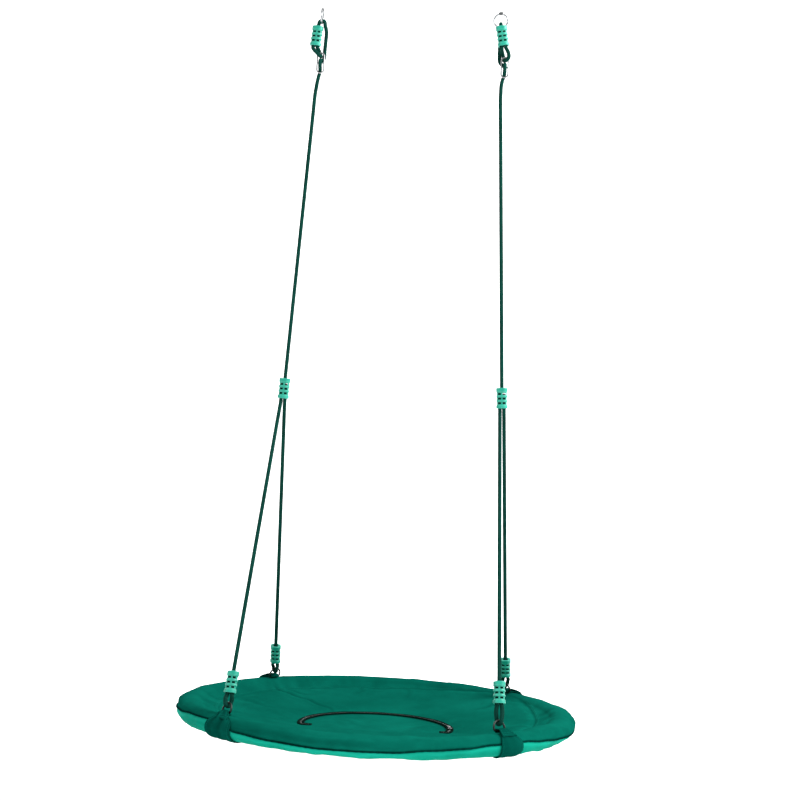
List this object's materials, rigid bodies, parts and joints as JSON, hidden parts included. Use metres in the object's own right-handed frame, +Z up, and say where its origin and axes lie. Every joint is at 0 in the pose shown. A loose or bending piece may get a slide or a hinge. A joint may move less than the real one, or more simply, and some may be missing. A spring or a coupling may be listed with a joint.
{
  "type": "nest swing",
  "caption": "Round padded nest swing seat on a steel ring, hung on branching ropes with moulded rope clamps, adjuster links and hanging rings.",
  "frame": {"origin": "midway between the two hanging points, at the inner top of the two hanging rings where a frame's hooks bear", "axes": "+Z up, +X from the left hanging ring to the right one, +Y to the back of the seat"},
  "size_m": [1, 1, 1.854],
  "materials": {
    "ring_steel": "polished zinc plate",
    "link_zinc": "bright zinc plate",
    "clamp_plastic": "semi-gloss moulded",
    "rope": "braided",
    "tube_steel": "galvanised",
    "foam": "closed-cell foam",
    "cover_dark": "coated polyester weave",
    "cover_bright": "coated polyester weave",
    "piping": "sewn piping",
    "strap_fabric": "webbing",
    "zip_tape": "woven tape with coil teeth",
    "zip_metal": "dark nickel"
  },
  "bodies": {
    "hanging_rings": {"hang_ring_L": "ring_steel", "hang_ring_R": "ring_steel"},
    "upper_ropes": {"top_clamp_L_front": "clamp_plastic", "top_clamp_L_back": "clamp_plastic", "top_clamp_R_front": "clamp_plastic", "top_clamp_R_back": "clamp_plastic", "adjuster_link_L": "link_zinc", "adjuster_link_R": "link_zinc", "rope_L_eye": "rope", "rope_L_bight": "rope", "rope_L_main": "rope", "rope_R_main": "rope"},
    "seat": {"branch_clamp_L_front": "clamp_plastic", "branch_clamp_L_back": "clamp_plastic", "branch_clamp_R_front": "clamp_plastic", "branch_clamp_R_back": "clamp_plastic", "rope_leg_FL": "rope", "rope_leg_FR": "rope", "rope_leg_BL": "rope", "rope_leg_BR": "rope", "seat_clamp_FL_front": "clamp_plastic", "seat_clamp_FL_back": "clamp_plastic", "seat_clamp_FR_front": "clamp_plastic", "seat_clamp_FR_back": "clamp_plastic", "seat_clamp_BL_front": "clamp_plastic", "seat_clamp_BL_back": "clamp_plastic", "seat_clamp_BR_front": "clamp_plastic", "seat_clamp_BR_back": "clamp_plastic", "d_ring_FL": "ring_steel", "d_ring_FR": "ring_steel", "d_ring_BL": "ring_steel", "d_ring_BR": "ring_steel", "rim_strap_FL": "strap_fabric", "rim_strap_FR": "strap_fabric", "rim_strap_BL": "strap_fabric", "rim_strap_BR": "strap_fabric", "ring_tube_F": "tube_steel", "ring_tube_R": "tube_steel", "ring_tube_B": "tube_steel", "ring_tube_L": "tube_steel", "rim_foam_F": "foam", "rim_foam_R": "foam", "rim_foam_B": "foam", "rim_foam_L": "foam", "seat_pad": "foam", "cover_top": "cover_dark", "cover_bottom": "cover_bright", "rim_piping": "piping", "zip_tape": "zip_tape"},
    "zip_slider": {"zip_slider": "zip_metal"},
    "zip_pull": {"zip_pull": "zip_metal"}
  },
  "joints": [
    {"name": "swing", "type": "hinge", "parent": "hanging_rings", "child": "upper_ropes", "pos_m": [0, 0, -0.0325], "axis": [1, 0, 0], "range_deg": [-45, 45], "deforming": ["rope_L_bight"]},
    {"name": "seat_pitch", "type": "hinge", "parent": "upper_ropes", "child": "seat", "pos_m": [0, 0, -0.9494], "axis": [1, 0, 0], "range_deg": [-30, 30]},
    {"name": "zip_slide", "type": "hinge", "parent": "seat", "child": "zip_slider", "pos_m": [0, 0, -1.8226], "axis": [0, 0, 1], "range_deg": [0, 184]},
    {"name": "zip_pull_flap", "type": "hinge", "parent": "zip_slider", "child": "zip_pull", "pos_m": [0.18668, 0.02175, -1.8176], "axis": [0.993, 0.1184, 0], "range_deg": [0, 110]}
  ]
}
